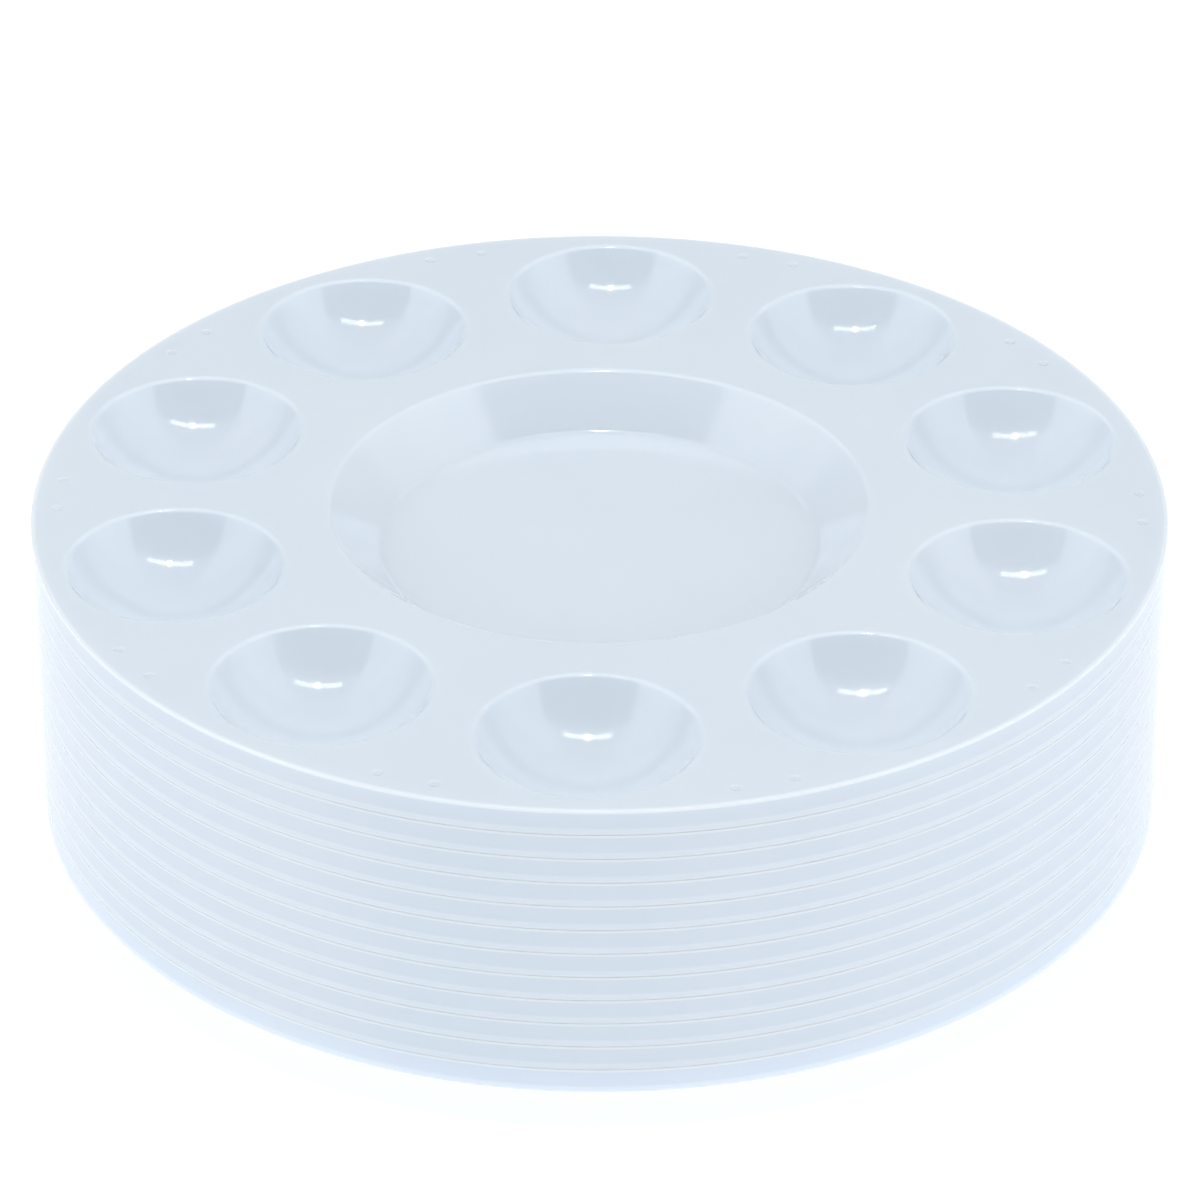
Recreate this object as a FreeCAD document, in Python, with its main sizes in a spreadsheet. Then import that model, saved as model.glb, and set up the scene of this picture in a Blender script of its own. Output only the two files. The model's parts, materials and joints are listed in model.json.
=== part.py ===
import FreeCAD
import Part
import math
import os
import Sketcher

# A stack of twelve round ten-well mixing palettes, nested one in the next.
# Every palette is one thin moulding: a flat flange with a central basin, ten bowl-shaped
# wells around it, a short skirt at the edge, and pairs of small pegs under the flange that
# stand in dimples on the palette below, so that the wells and basins never wedge together.
#
# Millimetres, +Z up. The origin is on the stack's axis, on the surface that it stands on.
# A palette's own origin is on its axis, in the plane of its flange's upper face.
# One well lies on the +Y axis and one on the -Y axis.

# Driving dimensions: name, value, meaning.
DRIVING_SIZES = (
    ("palette_radius", 85.0, "outer radius of a palette, over the skirt"),
    ("wall", 0.9, "wall thickness everywhere"),
    ("rim_rounding", 0.6, "outer radius of the edge between flange and skirt"),
    ("rim_root_rounding", 0.4, "inner radius between flange and skirt"),
    ("well_count", 10, "wells in a palette"),
    ("well_depth", 9.1, "depth of a well below the flange"),
    ("well_land", 8.86, "flange between neighbouring wells, before their lips are rounded"),
    ("rim_land", 3.95, "flange between a well and the outside of the skirt"),
    ("well_lip_rounding", 2.0, "radius of a well's lip"),
    ("basin_land", 9.05, "flange between a well and the basin"),
    ("basin_depth", 7.2, "depth of the basin below the flange"),
    ("basin_wall_run", 7.5, "horizontal run of the basin's sloping wall"),
    ("basin_lip_rounding", 2.0, "radius of the basin's lip"),
    ("basin_floor_rounding", 1.6, "radius between the basin's wall and floor"),
    ("foot_radius", 3.0, "radius of the flat foot under each well"),
    ("foot_height", 0.2, "height of that foot below the well"),
    ("palette_count", 12, "palettes in the stack"),
    ("stack_pitch", 3.98, "rise from one palette to the next"),
    ("skirt_gap", 0.1, "air between a skirt and the flange below it"),
    ("peg_radius", 0.55, "radius of a stacking peg"),
    ("peg_clearance", 0.15, "radial air between a peg and its dimple"),
    ("dimple_depth", 0.18, "depth of a dimple in the flange"),
    ("peg_inset", 3.8, "from the outside of the skirt to a peg's centre"),
    ("peg_half_angle", 3.0, "degrees from a pair's middle to each of its pegs"),
)

# Sizes that follow from the driving ones, as expressions.
HALF_STEP = "(180 deg / Sizes.well_count)"
WELL_CIRCLE_RADIUS = (
    "((Sizes.palette_radius - Sizes.rim_land + Sizes.well_land / 2)"
    f" / (1 + sin({HALF_STEP})))"
)
WELL_MOUTH_RADIUS = f"({WELL_CIRCLE_RADIUS} * sin({HALF_STEP}) - Sizes.well_land / 2)"
WELL_BOWL_RADIUS = f"(({WELL_MOUTH_RADIUS}^2 + Sizes.well_depth^2) / (2 * Sizes.well_depth))"
WELL_BOWL_CENTRE = f"({WELL_BOWL_RADIUS} - Sizes.well_depth)"
WELL_OUTER_RADIUS = f"({WELL_BOWL_RADIUS} + Sizes.wall)"
WELL_UNDER_RADIUS = f"sqrt({WELL_OUTER_RADIUS}^2 - ({WELL_BOWL_CENTRE} + Sizes.wall)^2)"
BASIN_RIM_RADIUS = f"({WELL_CIRCLE_RADIUS} - {WELL_MOUTH_RADIUS} - Sizes.basin_land)"
BASIN_FLOOR_RADIUS = f"({BASIN_RIM_RADIUS} - Sizes.basin_wall_run)"
BASIN_WALL_SHIFT = "(Sizes.wall * tan(atan(Sizes.basin_depth / Sizes.basin_wall_run) / 2))"
SKIRT_HEIGHT = "(Sizes.stack_pitch - Sizes.skirt_gap)"
SKIRT_INNER_RADIUS = "(Sizes.palette_radius - Sizes.wall)"
PEG_CIRCLE_RADIUS = "(Sizes.palette_radius - Sizes.peg_inset)"
PEG_LENGTH = "(Sizes.stack_pitch - Sizes.wall + Sizes.dimple_depth)"
BASE_HEIGHT = "(max(Sizes.well_depth + Sizes.foot_height; Sizes.basin_depth) + Sizes.wall)"

SIZE_TOLERANCE = 1e-4
SKETCH_AXIS_Z = -1
OVERSHOOT = 1.0


def make_sheet(document):
    """Spreadsheet with one aliased cell for each driving size."""
    sheet = document.addObject("Spreadsheet::Sheet", "Sizes")
    for row, (alias, value, meaning) in enumerate(DRIVING_SIZES, start=1):
        sheet.set(f"A{row}", alias)
        sheet.set(f"B{row}", str(value))
        sheet.setAlias(f"B{row}", alias)
        sheet.set(f"C{row}", meaning)
    document.recompute()
    return sheet


def size_of(sheet, expression):
    """Present value of an expression, in millimetres or degrees."""
    value = sheet.evalExpression(expression)
    return float(getattr(value, "Value", value))


def origin_feature(body, role):
    """The body's own origin plane or axis with this role."""
    return next(item for item in body.Origin.OriginFeatures if item.Role == role)


def attached_sketch(body, name, role):
    """Empty sketch on one of the body's origin planes."""
    sketch = body.newObject("Sketcher::SketchObject", name)
    sketch.AttachmentSupport = [(origin_feature(body, role), "")]
    sketch.MapMode = "FlatFace"
    return sketch


def bind(sketch, kind, *arguments, expression):
    """Dimensional constraint whose value is an expression."""
    index = sketch.addConstraint(Sketcher.Constraint(kind, *arguments))
    sketch.setExpression(f"Constraints[{index}]", expression)


def bind_point(sketch, sheet, geometry, point, across=None, up=None):
    """Ties a point's distances from the sketch's origin to expressions."""
    for kind, expression in (("DistanceX", across), ("DistanceY", up)):
        if expression is not None:
            value = size_of(sheet, expression)
            bind(sketch, kind, -1, 1, geometry, point, value, expression=expression)


def draw_outline(sketch, sheet, corners):
    """Closed outline of straight lines through corners given as pairs of expressions."""
    places = [
        FreeCAD.Vector(size_of(sheet, across), size_of(sheet, up), 0) for across, up in corners
    ]
    for index, start in enumerate(places):
        end = places[(index + 1) % len(places)]
        sketch.addGeometry(Part.LineSegment(start, end))
    for index, (across, up) in enumerate(corners):
        previous = (index - 1) % len(corners)
        sketch.addConstraint(Sketcher.Constraint("Coincident", previous, 2, index, 1))
        bind_point(sketch, sheet, index, 1, across, up)


def revolve(body, name, kind, sketch):
    """Full turn of a sketch about its own vertical axis."""
    feature = body.newObject(kind, name)
    feature.Profile = sketch
    feature.ReferenceAxis = (sketch, ["V_Axis"])
    feature.Angle = 360
    return feature


def make_disc(body, sheet):
    """Flange, skirt and basin as one turned shell, with square corners."""
    sketch = attached_sketch(body, "disc_outline", "YZ_Plane")
    skirt_bottom = f"-{SKIRT_HEIGHT}"
    floor_top = "-Sizes.basin_depth"
    floor_under = "-(Sizes.basin_depth + Sizes.wall)"
    draw_outline(
        sketch,
        sheet,
        (
            ("0", floor_top),
            (BASIN_FLOOR_RADIUS, floor_top),
            (BASIN_RIM_RADIUS, "0"),
            ("Sizes.palette_radius", "0"),
            ("Sizes.palette_radius", skirt_bottom),
            (SKIRT_INNER_RADIUS, skirt_bottom),
            (SKIRT_INNER_RADIUS, "-Sizes.wall"),
            (f"{BASIN_RIM_RADIUS} + {BASIN_WALL_SHIFT}", "-Sizes.wall"),
            (f"{BASIN_FLOOR_RADIUS} + {BASIN_WALL_SHIFT}", floor_under),
            ("0", floor_under),
        ),
    )
    return revolve(body, "disc", "PartDesign::Revolution", sketch)


def bowl_sketch(body, sheet, name, radius, top):
    """Half a spherical bowl, from its lowest point up to a flat top."""
    sketch = attached_sketch(body, name, "YZ_Plane")
    sketch.setExpression("AttachmentOffset.Base.x", WELL_CIRCLE_RADIUS)
    bowl_radius = size_of(sheet, radius)
    centre_height = size_of(sheet, WELL_BOWL_CENTRE)
    top_height = size_of(sheet, top)
    top_angle = math.asin((top_height - centre_height) / bowl_radius)
    centre = FreeCAD.Vector(0, centre_height, 0)
    circle = Part.Circle(centre, FreeCAD.Vector(0, 0, 1), bowl_radius)
    lowest = FreeCAD.Vector(0, centre_height - bowl_radius, 0)
    edge = FreeCAD.Vector(bowl_radius * math.cos(top_angle), top_height, 0)
    middle = FreeCAD.Vector(0, top_height, 0)
    sketch.addGeometry(Part.ArcOfCircle(circle, -math.pi / 2, top_angle))
    sketch.addGeometry(Part.LineSegment(edge, middle))
    sketch.addGeometry(Part.LineSegment(middle, lowest))
    for end, start in ((0, 1), (1, 2)):
        sketch.addConstraint(Sketcher.Constraint("Coincident", end, 2, start, 1))
    sketch.addConstraint(Sketcher.Constraint("Coincident", 2, 2, 0, 1))
    sketch.addConstraint(Sketcher.Constraint("Vertical", 2))
    sketch.addConstraint(Sketcher.Constraint("Horizontal", 1))
    bind_point(sketch, sheet, 0, 3, "0", WELL_BOWL_CENTRE)
    bind_point(sketch, sheet, 1, 2, "0", top)
    bind(sketch, "Radius", 0, bowl_radius, expression=radius)
    return sketch


def make_well(body, sheet):
    """One well: an outer bowl, its flat foot, and the hollow cut into both."""
    outer = bowl_sketch(body, sheet, "well_outside", WELL_OUTER_RADIUS, "-Sizes.wall / 2")
    bowl = revolve(body, "well_bowl", "PartDesign::Revolution", outer)
    foot_outline = attached_sketch(body, "foot_outline", "XY_Plane")
    foot_outline.setExpression("AttachmentOffset.Base.y", WELL_CIRCLE_RADIUS)
    foot_outline.setExpression(
        "AttachmentOffset.Base.z", "-(Sizes.well_depth + Sizes.wall + Sizes.foot_height)"
    )
    draw_circle(foot_outline, sheet, "0", "0", "Sizes.foot_radius")
    foot = body.newObject("PartDesign::Pad", "well_foot")
    foot.Profile = foot_outline
    foot.setExpression("Length", "Sizes.foot_height + Sizes.wall / 2")
    inner = bowl_sketch(body, sheet, "well_inside", WELL_BOWL_RADIUS, f"{OVERSHOOT}")
    hollow = revolve(body, "well_hollow", "PartDesign::Groove", inner)
    return [bowl, foot, hollow]


def draw_circle(sketch, sheet, across, up, radius):
    """Circle whose centre and radius are expressions."""
    centre = FreeCAD.Vector(size_of(sheet, across), size_of(sheet, up), 0)
    circle = Part.Circle(centre, FreeCAD.Vector(0, 0, 1), size_of(sheet, radius))
    index = sketch.addGeometry(circle)
    bind_point(sketch, sheet, index, 3, across, up)
    bind(sketch, "Radius", index, size_of(sheet, radius), expression=radius)


def draw_peg_pair(sketch, sheet, radius):
    """Two circles, either side of the middle of the land between two wells."""
    for side in ("-", "+"):
        angle = f"({HALF_STEP} {side} Sizes.peg_half_angle * 1 deg)"
        across = f"{PEG_CIRCLE_RADIUS} * sin({angle})"
        up = f"{PEG_CIRCLE_RADIUS} * cos({angle})"
        draw_circle(sketch, sheet, across, up, radius)


def make_pegs(body, sheet):
    """One pair of pegs under the flange and the pair of dimples above them."""
    pegs_outline = attached_sketch(body, "pegs_outline", "XY_Plane")
    pegs_outline.setExpression("AttachmentOffset.Base.z", f"-(Sizes.wall + {PEG_LENGTH})")
    draw_peg_pair(pegs_outline, sheet, "Sizes.peg_radius")
    pegs = body.newObject("PartDesign::Pad", "pegs")
    pegs.Profile = pegs_outline
    pegs.setExpression("Length", f"{PEG_LENGTH} + Sizes.wall / 2")
    dimples_outline = attached_sketch(body, "dimples_outline", "XY_Plane")
    draw_peg_pair(dimples_outline, sheet, "Sizes.peg_radius + Sizes.peg_clearance")
    dimples = body.newObject("PartDesign::Pocket", "dimples")
    dimples.Profile = dimples_outline
    dimples.setExpression("Length", "Sizes.dimple_depth")
    return [pegs, dimples]


def repeat_around(body, features):
    """The same features once for every well."""
    pattern = body.newObject("PartDesign::PolarPattern", "around_the_palette")
    pattern.Originals = features
    pattern.Axis = (origin_feature(body, "Z_Axis"), [""])
    pattern.Angle = 360
    pattern.setExpression("Occurrences", "Sizes.well_count")
    body.Tip = pattern
    return pattern


def circle_edges(feature, radius, height):
    """Names of the feature's circular edges of this radius at this height."""
    names = []
    for index, edge in enumerate(feature.Shape.Edges, start=1):
        if edge.Degenerated or not isinstance(edge.Curve, Part.Circle):
            continue
        radius_fits = abs(edge.Curve.Radius - radius) < SIZE_TOLERANCE
        height_fits = abs(edge.Curve.Center.z - height) < SIZE_TOLERANCE
        if radius_fits and height_fits:
            names.append(f"Edge{index}")
    return names


def round_edges(body, sheet, name, base, radius, height, rounding):
    """Fillet on every circular edge of one radius at one height."""
    edges = circle_edges(base, size_of(sheet, radius), size_of(sheet, height))
    if not edges:
        raise RuntimeError(f"{name}: no edge to round")
    fillet = body.newObject("PartDesign::Fillet", name)
    fillet.Base = (base, edges)
    fillet.setExpression("Radius", rounding)
    body.Tip = fillet
    body.Document.recompute()
    return fillet


def round_palette(body, sheet, feature):
    """Rounds the rim, and both sides of each bend of the basin and the wells."""
    floor_under = "-(Sizes.basin_depth + Sizes.wall)"
    under_wall = "-Sizes.wall"
    bends = (
        ("rim_outside", "Sizes.palette_radius", "0", "Sizes.rim_rounding"),
        ("rim_inside", SKIRT_INNER_RADIUS, under_wall, "Sizes.rim_root_rounding"),
        ("basin_lip", BASIN_RIM_RADIUS, "0", "Sizes.basin_lip_rounding"),
        (
            "basin_lip_under",
            f"{BASIN_RIM_RADIUS} + {BASIN_WALL_SHIFT}",
            under_wall,
            "Sizes.basin_lip_rounding - Sizes.wall",
        ),
        ("basin_corner", BASIN_FLOOR_RADIUS, "-Sizes.basin_depth", "Sizes.basin_floor_rounding"),
        (
            "basin_corner_under",
            f"{BASIN_FLOOR_RADIUS} + {BASIN_WALL_SHIFT}",
            floor_under,
            "Sizes.basin_floor_rounding + Sizes.wall",
        ),
        ("well_lips", WELL_MOUTH_RADIUS, "0", "Sizes.well_lip_rounding"),
        ("well_lips_under", WELL_UNDER_RADIUS, under_wall, "Sizes.well_lip_rounding - Sizes.wall"),
    )
    for name, radius, height, rounding in bends:
        feature = round_edges(body, sheet, name, feature, radius, height, rounding)
    return feature


def check_cut(before, after):
    """A cut that takes nothing away points the wrong way."""
    if after.Shape.Volume >= before.Shape.Volume:
        raise RuntimeError(f"{after.Name} removes nothing")


def make_palette(document, sheet, label):
    """The one palette that is modelled feature by feature."""
    body = document.addObject("PartDesign::Body", label)
    body.Label = label
    disc = make_disc(body, sheet)
    bowl, foot, hollow = make_well(body, sheet)
    pegs, dimples = make_pegs(body, sheet)
    document.recompute()
    check_cut(foot, hollow)
    check_cut(pegs, dimples)
    pattern = repeat_around(body, [bowl, foot, hollow, pegs, dimples])
    document.recompute()
    if pattern.Shape.Volume <= disc.Shape.Volume:
        raise RuntimeError("the wells are missing")
    round_palette(body, sheet, pattern)
    return body


def clone_palette(document, master, label):
    """Another palette from the same mould."""
    body = document.addObject("PartDesign::Body", label)
    body.Label = label
    base = document.addObject("PartDesign::FeatureBase", f"{label}_moulding")
    base.BaseFeature = master
    body.Group = [base]
    body.Tip = base
    return body


def make_stack(document, sheet):
    """All the palettes, each one pitch above the one that it stands on."""
    count = int(size_of(sheet, "Sizes.palette_count"))
    labels = [f"palette_{number:02d}" for number in range(1, count + 1)]
    master = make_palette(document, sheet, labels[0])
    palettes = [master] + [clone_palette(document, master, label) for label in labels[1:]]
    for level, palette in enumerate(palettes):
        height = f"{BASE_HEIGHT} + {level} * Sizes.stack_pitch"
        palette.setExpression("Placement.Base.z", height)
    document.recompute()
    return palettes


def check_document(document, bodies):
    """Stops if anything in the document failed or a shape isn't one good solid."""
    for item in document.Objects:
        if "Invalid" in item.State or "Error" in item.State:
            raise RuntimeError(f"{item.Label} failed: {item.State}")
    for body in bodies:
        shape = body.Shape
        if shape.isNull() or not shape.isValid() or len(shape.Solids) != 1:
            raise RuntimeError(f"{body.Label} is not one valid solid")


def export_parts(bodies):
    """One STEP file for each palette."""
    os.makedirs("parts", exist_ok=True)
    for body in bodies:
        body.Shape.exportStep(f"parts/{body.Label}.step")
        box = body.Shape.BoundBox
        print(f"{body.Label}: z {box.ZMin:.3f} to {box.ZMax:.3f}, volume {body.Shape.Volume:.1f}")


def main():
    document = FreeCAD.newDocument("PaletteStack")
    sheet = make_sheet(document)
    palettes = make_stack(document, sheet)
    check_document(document, palettes)
    export_parts(palettes)


main()
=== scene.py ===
import json
import math

import bpy
from mathutils import Euler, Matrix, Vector
from mathutils.geometry import tessellate_polygon

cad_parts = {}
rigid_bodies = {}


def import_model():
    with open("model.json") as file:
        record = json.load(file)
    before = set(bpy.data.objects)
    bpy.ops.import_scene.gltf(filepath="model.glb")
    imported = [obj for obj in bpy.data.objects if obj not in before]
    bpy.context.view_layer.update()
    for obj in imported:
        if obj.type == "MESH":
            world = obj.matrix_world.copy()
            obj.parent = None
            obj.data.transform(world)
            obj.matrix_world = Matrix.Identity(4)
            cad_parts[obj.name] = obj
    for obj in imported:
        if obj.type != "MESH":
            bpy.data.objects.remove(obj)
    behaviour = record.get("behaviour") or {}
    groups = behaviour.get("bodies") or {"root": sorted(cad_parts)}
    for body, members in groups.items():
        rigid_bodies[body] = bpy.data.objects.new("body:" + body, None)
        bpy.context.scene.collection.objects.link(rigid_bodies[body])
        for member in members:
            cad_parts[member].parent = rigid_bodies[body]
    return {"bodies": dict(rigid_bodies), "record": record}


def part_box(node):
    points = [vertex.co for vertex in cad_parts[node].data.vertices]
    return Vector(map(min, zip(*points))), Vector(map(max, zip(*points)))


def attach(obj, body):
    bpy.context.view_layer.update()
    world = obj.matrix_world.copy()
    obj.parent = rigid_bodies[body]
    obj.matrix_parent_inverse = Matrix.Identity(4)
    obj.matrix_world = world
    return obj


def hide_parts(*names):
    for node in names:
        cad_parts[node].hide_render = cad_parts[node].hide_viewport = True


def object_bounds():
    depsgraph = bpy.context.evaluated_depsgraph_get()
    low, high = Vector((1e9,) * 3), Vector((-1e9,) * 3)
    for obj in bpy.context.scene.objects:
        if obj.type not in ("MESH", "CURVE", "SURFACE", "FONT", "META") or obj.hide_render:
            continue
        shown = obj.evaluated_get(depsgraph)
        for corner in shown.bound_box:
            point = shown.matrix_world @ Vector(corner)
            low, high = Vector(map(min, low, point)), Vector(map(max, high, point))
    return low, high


# A stack of twelve nested ten-well mixing palettes, moulded in milky, glossy plastic.
# Every palette is one thin shell: its upper surface is drawn as flat land between turned
# profiles, and its underside is the same surface moved in by the wall thickness.

MM = 0.001

# Sizes that the frame doesn't state, in metres. The rim, the lips and the gap under the skirt
# are finer than in the CAD, which draws thinner and brighter edge lines.
WALL = 0.9 * MM
RIM_ROUNDING = 0.25 * MM
RIM_ROOT_ROUNDING = 0.4 * MM
SKIRT_GAP = 0.03 * MM
SKIRT_EDGE_ROUNDING = 0.05 * MM
WELL_COUNT = 10
WELL_MOUTH_RADIUS = 16.1 * MM
WELL_DEPTH = 9.1 * MM
WELL_LIP_ROUNDING = 1.0 * MM
FOOT_RADIUS = 3.0 * MM
FOOT_ROUNDING = 0.15 * MM
BASIN_RIM_RADIUS = 40.502 * MM
BASIN_DEPTH = 7.2 * MM
BASIN_WALL_RUN = 7.5 * MM
BASIN_LIP_ROUNDING = 1.2 * MM
BASIN_FLOOR_ROUNDING = 1.6 * MM
PEG_RADIUS = 0.55 * MM
PEG_INSET = 3.8 * MM
PEG_HALF_ANGLE = math.radians(3.0)
PEG_ROUNDING = 0.12 * MM
PEG_TIP_GAP = 0.02 * MM
DIMPLE_DEPTH = 0.18 * MM
DIMPLE_FLOOR_RADIUS = 0.45 * MM
DIMPLE_RADIUS = 0.95 * MM

# Root of a foot, where it meets the bowl's underside.
FOOT_ROOT_HEIGHT = 0.4 * MM
FOOT_ROOT_SPREAD = 0.02 * MM
FOOT_CLEAR_SHARE = 1.15

# Segments around each turned shape, and steps along its arcs.
RIM_SEGMENTS = 256
BASIN_SEGMENTS = 192
WELL_SEGMENTS = 72
PEG_SEGMENTS = 20
BOWL_STEPS = 18
RIM_STEPS = 10
LIP_STEPS = 8
ROOT_STEPS = 5
EDGE_STEPS = 4

# Camera, fitted to the object's outline and rims.
CAMERA_AZIMUTH = math.radians(1.45)
CAMERA_ELEVATION = math.radians(31.24)
CAMERA_DISTANCE = 0.931
CAMERA_LENS_MM = 184.5
CAMERA_SENSOR_MM = 36.0
CAMERA_TARGET_X = 0.08 * MM
CAMERA_TARGET_DROP = 17.42 * MM

# Floor and light tent. The tent is drawn on a ceiling one unit above the object: across is to
# the side and ahead is towards the camera, both as shares of the height.
FLOOR_HALF = 4.0
FLOOR_COLOUR = (0.4, 0.41, 0.42, 1)
FLOOR_GLOW_COLOUR = (0.95, 0.97, 1.0, 1)
FLOOR_GLOW = 0.75
TENT_COLOUR = (0.93, 0.97, 1.0, 1)
TENT_STRENGTH = 1.0
PANEL_STRENGTH = 0.55
PANEL_AHEAD = -0.3
PANEL_SOFTNESS = 0.3
BACK_AHEAD = 1.2
BACK_SOFTNESS = 0.5
BACK_DARKNESS = 0.6
OPENING_HALF = 0.5
OPENING_SPREAD = 0.85
OPENING_AHEAD = (0.22, 1.75)
OPENING_DARKNESS = 0.85
OPENING_SOFTNESS = (0.12, 0.15)
LEAST_HEIGHT = 0.01

# Lamps: place ahead of the object's axis and above its top.
LAMP_AHEAD = 0.10
LAMP_HEIGHT = 0.73
KEY_SIZE = 0.045
KEY_POWER = 0.6
STRIP_SIZE = (0.5, 0.06)
STRIP_POWER = 0.5

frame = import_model()
cad_low, cad_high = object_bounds()

palette_names = sorted(frame["bodies"])
lowest_low, lowest_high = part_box(palette_names[0])
second_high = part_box(palette_names[1])[1]
PALETTE_RADIUS = (lowest_high.y - lowest_low.y) / 2
STACK_PITCH = second_high.z - lowest_high.z
STAND_DEPTH = lowest_high.z - lowest_low.z
FOOT_PLACE = frame["record"]["mounts"][0]["pos_m"]
WELL_CIRCLE_RADIUS = math.hypot(FOOT_PLACE[0], FOOT_PLACE[1])
SKIRT_HEIGHT = STACK_PITCH - SKIRT_GAP
PEG_LENGTH = STACK_PITCH - WALL + DIMPLE_DEPTH - PEG_TIP_GAP

# Plastic. Each tint is the two ends of a cloudy variation. The body tint is the plastic's own
# colour, the darker skirt tint is painted shade on the outer wall, and the lighter rim tint is a
# painted highlight on the rim and on the skirt's lower edge. They meet in soft zones, given as the
# middle of the change and its width.
PLASTIC_IOR = 1.59
SCATTER_WEIGHT = 0.5
SCATTER_SCALE = 1.5 * MM
BODY_TINT = ((0.76, 0.83, 0.92, 1), (0.79, 0.855, 0.94, 1))
SKIRT_SHADE_TINT = ((0.7, 0.765, 0.855, 1), (0.73, 0.79, 0.875, 1))
RIM_HIGHLIGHT_TINT = ((0.84, 0.9, 0.97, 1), (0.87, 0.92, 0.98, 1))
TINT_RANGE = (0.3, 0.7)
OUTER_ZONE = (PALETTE_RADIUS - 0.6 * MM, 0.4 * MM)
SKIRT_SHADE_FOOT_ZONE = (-SKIRT_HEIGHT + 1.0 * MM, 0.5 * MM)
RIM_HIGHLIGHT_ZONE = (-0.45 * MM, 0.3 * MM)
LOW_EDGE_HIGHLIGHT_ZONE = (-SKIRT_HEIGHT + 0.25 * MM, 0.3 * MM)
CLOUD_SCALE = 28
GLOSS_SCALE = 60
GLOSS_RANGE = 0.08
GLOSS_LEAST = 0.04
WAVE_SCALE = 170
WAVE_DISTORTION = 0.4
WAVE_DEPTH = 0.006 * MM


class Shell:
    """Vertices, exact normals and faces of one palette, in its own frame, flange at z = 0."""

    def __init__(self):
        self.places = []
        self.normals = []
        self.faces = []

    def add_loop(self, centre, radius, height, normal, segments):
        """A ring of vertices round a vertical axis. Returns their numbers."""
        first = len(self.places)
        for index in range(segments):
            angle = 2 * math.pi * index / segments
            across, along = math.cos(angle), math.sin(angle)
            self.places.append((centre[0] + radius * across, centre[1] + radius * along, height))
            self.normals.append((normal[0] * across, normal[0] * along, normal[1]))
        return list(range(first, first + segments))

    def add_face(self, corners, upward):
        self.faces.append(tuple(corners) if upward else tuple(reversed(corners)))

    def join(self, inner, outer, upward):
        """Quads between two rings of the same count."""
        count = len(inner)
        for index in range(count):
            after = (index + 1) % count
            self.add_face((inner[index], outer[index], outer[after], inner[after]), upward)

    def turn(self, centre, profile, segments, upward):
        """Turned surface from its first profile point outwards. Returns its last ring."""
        start = profile[0]
        rings = profile
        previous = None
        if start[0] == 0:
            tip = len(self.places)
            self.places.append((centre[0], centre[1], start[1]))
            self.normals.append((0, 0, start[3]))
            previous = self.add_loop(centre, profile[1][0], profile[1][1], profile[1][2:], segments)
            for index in range(segments):
                after = (index + 1) % segments
                self.add_face((tip, previous[index], previous[after]), upward)
            rings = profile[2:]
        first = previous
        for radius, height, *normal in rings:
            ring = self.add_loop(centre, radius, height, normal, segments)
            if previous is not None:
                self.join(previous, ring, upward)
            else:
                first = ring
            previous = ring
        return first, previous

    def fill(self, outer, holes, upward):
        """Flat land inside one ring and around others, using the rings' own vertices."""
        loops = [outer] + holes
        numbers = [number for loop in loops for number in loop]
        outlines = [[Vector(self.places[number]) for number in loop] for loop in loops]
        for triangle in tessellate_polygon(outlines):
            corners = [numbers[corner] for corner in triangle]
            a, b, c = (Vector(self.places[number]) for number in corners)
            turns_up = (b - a).cross(c - a).z > 0
            self.add_face(corners, turns_up == upward)


def arc(centre_radius, centre_height, radius, start, end, steps, sign=1):
    """Points (radius, height, normal across, normal up) on an arc. Angle 0 points up."""
    points = []
    for step in range(steps + 1):
        angle = start + (end - start) * step / steps
        across, up = math.sin(angle), math.cos(angle)
        points.append(
            (centre_radius + radius * across, centre_height + radius * up, sign * across, sign * up)
        )
    return points


def underside(profile):
    """The same profile, moved in by the wall and facing the other way."""
    return [(r - WALL * a, z - WALL * b, -a, -b) for r, z, a, b in profile]


def well_profile():
    """Spherical bowl and rounded lip, from the lowest point to the flange."""
    bowl = (WELL_MOUTH_RADIUS**2 + WELL_DEPTH**2) / (2 * WELL_DEPTH)
    centre_height = bowl - WELL_DEPTH
    lip_height = centre_height + WELL_LIP_ROUNDING
    lip_radius = math.sqrt((bowl + WELL_LIP_ROUNDING) ** 2 - lip_height**2)
    bend = math.atan2(lip_radius, lip_height)
    bowl_arc = arc(0, centre_height, bowl, math.pi, math.pi - bend, BOWL_STEPS, sign=-1)
    bowl_arc[0] = (0, bowl_arc[0][1], 0, 1)
    lip_arc = arc(lip_radius, -WELL_LIP_ROUNDING, WELL_LIP_ROUNDING, -bend, 0, LIP_STEPS)
    return bowl_arc + lip_arc[1:]


def foot_profile(outside):
    """Underside of a well with its flat foot."""
    above_foot = [point for point in outside if point[0] > FOOT_RADIUS * FOOT_CLEAR_SHARE]
    corner = FOOT_RADIUS - FOOT_ROUNDING
    foot = [(0, -STAND_DEPTH, 0, -1), (corner * 0.6, -STAND_DEPTH, 0, -1)]
    rise = -STAND_DEPTH + FOOT_ROUNDING
    foot += arc(corner, rise, FOOT_ROUNDING, math.pi, math.pi / 2, EDGE_STEPS)
    root_height = -STAND_DEPTH + FOOT_ROOT_HEIGHT
    foot.append((FOOT_RADIUS + FOOT_ROOT_SPREAD, root_height, 0.9, -0.44))
    return foot + above_foot


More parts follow.
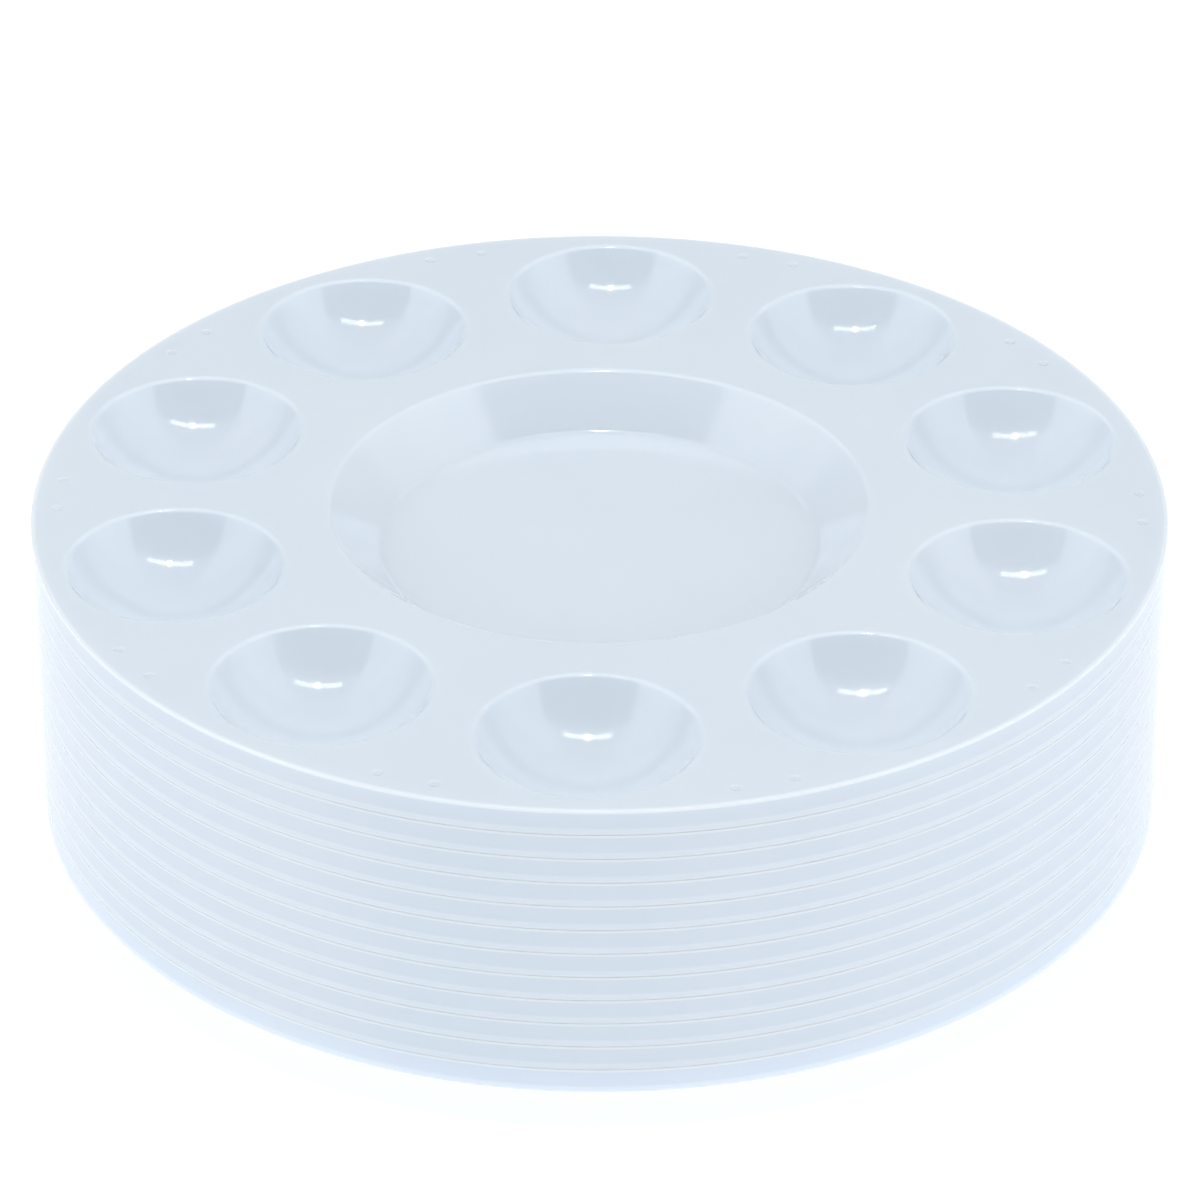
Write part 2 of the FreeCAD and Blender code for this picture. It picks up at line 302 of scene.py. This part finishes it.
def basin_profile():
    """Flat floor, rounded corner, sloping wall and rounded lip."""
    slope = math.atan2(BASIN_DEPTH, BASIN_WALL_RUN)
    shift = math.tan(slope / 2)
    corner_radius = BASIN_RIM_RADIUS - BASIN_WALL_RUN - BASIN_FLOOR_ROUNDING * shift
    lip_radius = BASIN_RIM_RADIUS + BASIN_LIP_ROUNDING * shift
    floor = [(0, -BASIN_DEPTH, 0, 1), (corner_radius * 0.5, -BASIN_DEPTH, 0, 1)]
    corner = arc(
        corner_radius,
        -BASIN_DEPTH + BASIN_FLOOR_ROUNDING,
        BASIN_FLOOR_ROUNDING,
        math.pi,
        math.pi - slope,
        LIP_STEPS,
        sign=-1,
    )
    lip = arc(lip_radius, -BASIN_LIP_ROUNDING, BASIN_LIP_ROUNDING, -slope, 0, LIP_STEPS)
    return floor + corner + lip


def rim_profile():
    """From the flange over the rim, down the skirt, round its lower edge and up inside."""
    quarter = math.pi / 2
    low = -SKIRT_HEIGHT + SKIRT_EDGE_ROUNDING
    outer = PALETTE_RADIUS - SKIRT_EDGE_ROUNDING
    inner = PALETTE_RADIUS - WALL + SKIRT_EDGE_ROUNDING
    root = PALETTE_RADIUS - WALL - RIM_ROOT_ROUNDING
    root_height = -WALL - RIM_ROOT_ROUNDING
    rim = PALETTE_RADIUS - RIM_ROUNDING
    profile = arc(rim, -RIM_ROUNDING, RIM_ROUNDING, 0, quarter, RIM_STEPS)
    profile += arc(outer, low, SKIRT_EDGE_ROUNDING, quarter, 2 * quarter, EDGE_STEPS)
    profile += arc(inner, low, SKIRT_EDGE_ROUNDING, 2 * quarter, 3 * quarter, EDGE_STEPS)
    profile += arc(root, root_height, RIM_ROOT_ROUNDING, quarter, 0, ROOT_STEPS, sign=-1)
    return profile


def dimple_profile():
    """Shallow seat for a peg, with a smooth wall."""
    points = [(0, -DIMPLE_DEPTH, 0, 1), (DIMPLE_FLOOR_RADIUS * 0.6, -DIMPLE_DEPTH, 0, 1)]
    width = DIMPLE_RADIUS - DIMPLE_FLOOR_RADIUS
    for step in range(LIP_STEPS + 1):
        share = step / LIP_STEPS
        rise = share * share * (3 - 2 * share)
        steepness = 6 * share * (1 - share) * DIMPLE_DEPTH / width
        length = math.hypot(steepness, 1)
        points.append(
            (
                DIMPLE_FLOOR_RADIUS + width * share,
                -DIMPLE_DEPTH * (1 - rise),
                -steepness / length,
                1 / length,
            )
        )
    return points


def peg_profile():
    """Stacking peg under the flange, from its tip up to its rounded root."""
    tip = -WALL - PEG_LENGTH
    corner = PEG_RADIUS - PEG_ROUNDING
    points = [(0, tip, 0, -1)]
    points += arc(corner, tip + PEG_ROUNDING, PEG_ROUNDING, math.pi, math.pi / 2, EDGE_STEPS)
    root = 2 * PEG_ROUNDING
    start, end = math.pi * 1.5, math.pi * 2
    points += arc(PEG_RADIUS + root, -WALL - root, root, start, end, EDGE_STEPS, sign=-1)
    return points


def around(radius, angles):
    """Points on a circle. Angle 0 is on +Y and angles turn towards +X."""
    return [(radius * math.sin(angle), radius * math.cos(angle)) for angle in angles]


def palette_mesh():
    """The whole moulding as one closed mesh with exact normals."""
    shell = Shell()
    step = 2 * math.pi / WELL_COUNT
    wells = around(WELL_CIRCLE_RADIUS, [step * index for index in range(WELL_COUNT)])
    peg_angles = [
        step * (index + 0.5) + side * PEG_HALF_ANGLE
        for index in range(WELL_COUNT)
        for side in (-1, 1)
    ]
    pegs = around(PALETTE_RADIUS - PEG_INSET, peg_angles)
    middle = (0, 0)
    well = well_profile()
    basin = basin_profile()

    top_holes = [shell.turn(middle, basin, BASIN_SEGMENTS, True)[1]]
    top_holes += [shell.turn(place, well, WELL_SEGMENTS, True)[1] for place in wells]
    dimple = dimple_profile()
    top_holes += [shell.turn(place, dimple, PEG_SEGMENTS, True)[1] for place in pegs]
    top_edge, under_edge = shell.turn(middle, rim_profile(), RIM_SEGMENTS, True)
    shell.fill(top_edge, top_holes, True)

    foot = foot_profile(underside(well))
    under_holes = [shell.turn(middle, underside(basin), BASIN_SEGMENTS, False)[1]]
    under_holes += [shell.turn(place, foot, WELL_SEGMENTS, False)[1] for place in wells]
    peg = peg_profile()
    under_holes += [shell.turn(place, peg, PEG_SEGMENTS, False)[1] for place in pegs]
    shell.fill(under_edge, under_holes, False)

    mesh = bpy.data.meshes.new("palette_moulding")
    mesh.from_pydata(shell.places, [], shell.faces)
    mesh.shade_smooth()
    mesh.normals_split_custom_set_from_vertices(shell.normals)
    return mesh


class NodeMaths:
    """Small helper that writes arithmetic as shader nodes."""

    def __init__(self, tree):
        self.tree = tree

    def do(self, operation, *values):
        """The result socket of one arithmetic node, from sockets and plain numbers."""
        node = self.tree.nodes.new("ShaderNodeMath")
        node.operation = operation
        for socket, value in zip(node.inputs, values):
            if isinstance(value, (int, float)):
                socket.default_value = value
            else:
                self.tree.links.new(value, socket)
        return node.outputs[0]

    def step(self, value, edge, softness):
        """0 below the edge and 1 above it, blended over the softness."""
        ramp = self.tree.nodes.new("ShaderNodeMapRange")
        ramp.interpolation_type = "SMOOTHSTEP"
        self.tree.links.new(value, ramp.inputs["Value"])
        ramp.inputs["From Min"].default_value = edge - softness / 2
        ramp.inputs["From Max"].default_value = edge + softness / 2
        return ramp.outputs[0]

    def band(self, value, low, high, softness):
        """1 between two edges and 0 outside them."""
        above = self.step(value, low, softness)
        below = self.do("SUBTRACT", 1, self.step(value, high, softness))
        return self.do("MULTIPLY", above, below)


def noise(tree, coordinates, scale, detail, distortion=0.0):
    """A noise texture's value."""
    node = tree.nodes.new("ShaderNodeTexNoise")
    node.inputs["Scale"].default_value = scale
    node.inputs["Detail"].default_value = detail
    node.inputs["Distortion"].default_value = distortion
    tree.links.new(coordinates, node.inputs["Vector"])
    return node.outputs["Fac"]


def tint(tree, factor, low, high):
    """Blend from one colour to the other as the factor crosses the tint range."""
    ramp = tree.nodes.new("ShaderNodeValToRGB")
    ramp.color_ramp.elements[0].position = TINT_RANGE[0]
    ramp.color_ramp.elements[1].position = TINT_RANGE[1]
    ramp.color_ramp.elements[0].color = low
    ramp.color_ramp.elements[1].color = high
    tree.links.new(factor, ramp.inputs["Fac"])
    return ramp.outputs["Color"]


def blend(tree, share, first, second):
    """First colour where the share is 0, second where it is 1."""
    mix = tree.nodes.new("ShaderNodeMix")
    mix.data_type = "RGBA"
    tree.links.new(share, mix.inputs["Factor"])
    tree.links.new(first, mix.inputs["A"])
    tree.links.new(second, mix.inputs["B"])
    return mix.outputs["Result"]


def milky_plastic():
    """Glossy, slightly translucent white plastic with a cold tint and moulding marks, painted shade
    on the skirt and painted highlights along the rim and the skirt's lower edge.
    """
    material = bpy.data.materials.new("milky_plastic")
    material.use_nodes = True
    tree = material.node_tree
    maths = NodeMaths(tree)
    shader = tree.nodes["Principled BSDF"]
    shader.inputs["IOR"].default_value = PLASTIC_IOR
    shader.inputs["Subsurface Weight"].default_value = SCATTER_WEIGHT
    shader.inputs["Subsurface Radius"].default_value = (1.0, 1.0, 1.0)
    shader.inputs["Subsurface Scale"].default_value = SCATTER_SCALE

    place = tree.nodes.new("ShaderNodeTexCoord").outputs["Object"]
    axes = tree.nodes.new("ShaderNodeSeparateXYZ")
    tree.links.new(place, axes.inputs[0])
    across, along, height = axes.outputs
    squares = maths.do("ADD", maths.do("POWER", across, 2), maths.do("POWER", along, 2))
    radius = maths.do("SQRT", squares)
    # Painted shade: the skirt's outer wall, from a millimetre above its foot up to the rim, takes
    # the darker skirt tint; the strip at its foot stays lighter.
    outer = maths.step(radius, *OUTER_ZONE)
    low = maths.step(height, *SKIRT_SHADE_FOOT_ZONE)
    high = maths.step(height, *RIM_HIGHLIGHT_ZONE)
    skirt_shade = maths.do("MULTIPLY", outer, maths.do("SUBTRACT", low, high))
    # Painted highlight: the rim's top rounding and the skirt's lowest edge take the lighter rim
    # tint, which draws bright edge lines.
    low_edge_highlight = maths.do("SUBTRACT", 1, maths.step(height, *LOW_EDGE_HIGHLIGHT_ZONE))
    edge = maths.do("MULTIPLY", outer, maths.do("ADD", high, low_edge_highlight))

    cloud = noise(tree, place, CLOUD_SCALE, 3)
    body = tint(tree, cloud, *BODY_TINT)
    # The skirt colour is painted shade and the rim colour a painted highlight.
    side = tint(tree, cloud, *SKIRT_SHADE_TINT)
    rim = tint(tree, cloud, *RIM_HIGHLIGHT_TINT)
    colour = blend(tree, skirt_shade, body, side)
    tree.links.new(blend(tree, edge, colour, rim), shader.inputs["Base Color"])

    gloss = noise(tree, place, GLOSS_SCALE, 4)
    roughness = maths.do("MULTIPLY_ADD", gloss, GLOSS_RANGE, GLOSS_LEAST)
    tree.links.new(roughness, shader.inputs["Roughness"])
    bump = tree.nodes.new("ShaderNodeBump")
    bump.inputs["Distance"].default_value = WAVE_DEPTH
    waves = noise(tree, place, WAVE_SCALE, 1, WAVE_DISTORTION)
    tree.links.new(waves, bump.inputs["Height"])
    tree.links.new(bump.outputs["Normal"], shader.inputs["Normal"])
    return material


def make_palettes():
    """One visible palette for each CAD node, riding on its body."""
    mesh = palette_mesh()
    mesh.materials.append(milky_plastic())
    for name in palette_names:
        flange_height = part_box(name)[1].z
        palette = bpy.data.objects.new(f"{name}_moulding", mesh)
        bpy.context.scene.collection.objects.link(palette)
        palette.location = (0, 0, flange_height)
        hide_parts(name)
        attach(palette, name)


def aim(thing, target):
    """Points an object's -Z axis at a place."""
    direction = Vector(target) - thing.location
    thing.rotation_euler = direction.to_track_quat("-Z", "Y").to_euler()


def add_area_light(name, place, target, width, height, power):
    lamp = bpy.data.lights.new(name, "AREA")
    lamp.shape = "RECTANGLE"
    lamp.size = width
    lamp.size_y = height
    lamp.energy = power
    light = bpy.data.objects.new(name, lamp)
    bpy.context.scene.collection.objects.link(light)
    light.location = place
    aim(light, target)


def make_floor():
    """Plain pale floor, lit a little from below as on a light table."""
    mesh = bpy.data.meshes.new("floor")
    signs = [(-1, -1), (1, -1), (1, 1), (-1, 1)]
    corners = [(across * FLOOR_HALF, along * FLOOR_HALF, 0) for across, along in signs]
    mesh.from_pydata(corners, [], [(0, 1, 2, 3)])
    floor = bpy.data.objects.new("floor", mesh)
    bpy.context.scene.collection.objects.link(floor)
    material = bpy.data.materials.new("pale_floor")
    material.use_nodes = True
    shader = material.node_tree.nodes["Principled BSDF"]
    shader.inputs["Base Color"].default_value = FLOOR_COLOUR
    shader.inputs["Roughness"].default_value = 0.9
    shader.inputs["Specular IOR Level"].default_value = 0.1
    shader.inputs["Emission Color"].default_value = FLOOR_GLOW_COLOUR
    shader.inputs["Emission Strength"].default_value = FLOOR_GLOW
    mesh.materials.append(material)


def make_world():
    """Light tent: bright side panels and a dark opening above and ahead of the object."""
    world = bpy.data.worlds.new("studio")
    world.use_nodes = True
    tree = world.node_tree
    maths = NodeMaths(tree)
    coordinates = tree.nodes.new("ShaderNodeTexCoord")
    axes = tree.nodes.new("ShaderNodeSeparateXYZ")
    tree.links.new(coordinates.outputs["Generated"], axes.inputs[0])
    across, along, up = axes.outputs
    height = maths.do("MAXIMUM", up, LEAST_HEIGHT)
    side = maths.do("DIVIDE", maths.do("ABSOLUTE", across), height)
    ahead = maths.do("DIVIDE", maths.do("MULTIPLY", along, -1), height)
    edge = maths.do("MULTIPLY_ADD", ahead, OPENING_SPREAD, OPENING_HALF)
    beyond = maths.step(maths.do("SUBTRACT", side, edge), 0, OPENING_SOFTNESS[0])
    panels = maths.do("MULTIPLY", beyond, maths.step(ahead, PANEL_AHEAD, PANEL_SOFTNESS))
    inside = maths.do("SUBTRACT", 1, beyond)
    reach = maths.band(ahead, *OPENING_AHEAD, OPENING_SOFTNESS[1])
    opening = maths.do("MULTIPLY", inside, reach)
    behind = maths.step(maths.do("MULTIPLY", ahead, -1), BACK_AHEAD, BACK_SOFTNESS)
    strength = maths.do("MULTIPLY_ADD", panels, PANEL_STRENGTH, TENT_STRENGTH)
    strength = maths.do("MULTIPLY_ADD", behind, -BACK_DARKNESS, strength)
    shade = maths.do("MULTIPLY_ADD", opening, -OPENING_DARKNESS, 1)
    background = tree.nodes["Background"]
    background.inputs["Color"].default_value = TENT_COLOUR
    tree.links.new(maths.do("MULTIPLY", strength, shade), background.inputs["Strength"])
    bpy.context.scene.world = world


def make_lights():
    """Small key overhead, which makes the sparkle in each well, and a strip across it."""
    centre = (0, 0, cad_high.z)
    place = (0, -LAMP_AHEAD, cad_high.z + LAMP_HEIGHT)
    add_area_light("key", place, centre, KEY_SIZE, KEY_SIZE, KEY_POWER)
    add_area_light("key_strip", place, centre, *STRIP_SIZE, STRIP_POWER)


def make_camera():
    target = Vector((0, 0, cad_high.z - CAMERA_TARGET_DROP))
    right = Vector((math.cos(CAMERA_AZIMUTH), math.sin(CAMERA_AZIMUTH), 0))
    back = Vector((math.sin(CAMERA_AZIMUTH), -math.cos(CAMERA_AZIMUTH), 0))
    target += right * CAMERA_TARGET_X
    data = bpy.data.cameras.new("camera")
    data.lens = CAMERA_LENS_MM
    data.sensor_width = CAMERA_SENSOR_MM
    data.clip_end = 50
    camera = bpy.data.objects.new("camera", data)
    bpy.context.scene.collection.objects.link(camera)
    level = CAMERA_DISTANCE * math.cos(CAMERA_ELEVATION)
    rise = CAMERA_DISTANCE * math.sin(CAMERA_ELEVATION)
    camera.location = target + back * level + Vector((0, 0, rise))
    camera.rotation_euler = Euler((math.pi / 2 - CAMERA_ELEVATION, 0, CAMERA_AZIMUTH))
    bpy.context.scene.camera = camera


make_palettes()
make_floor()
make_world()
make_lights()
make_camera()
bpy.context.scene.view_settings.view_transform = "Standard"
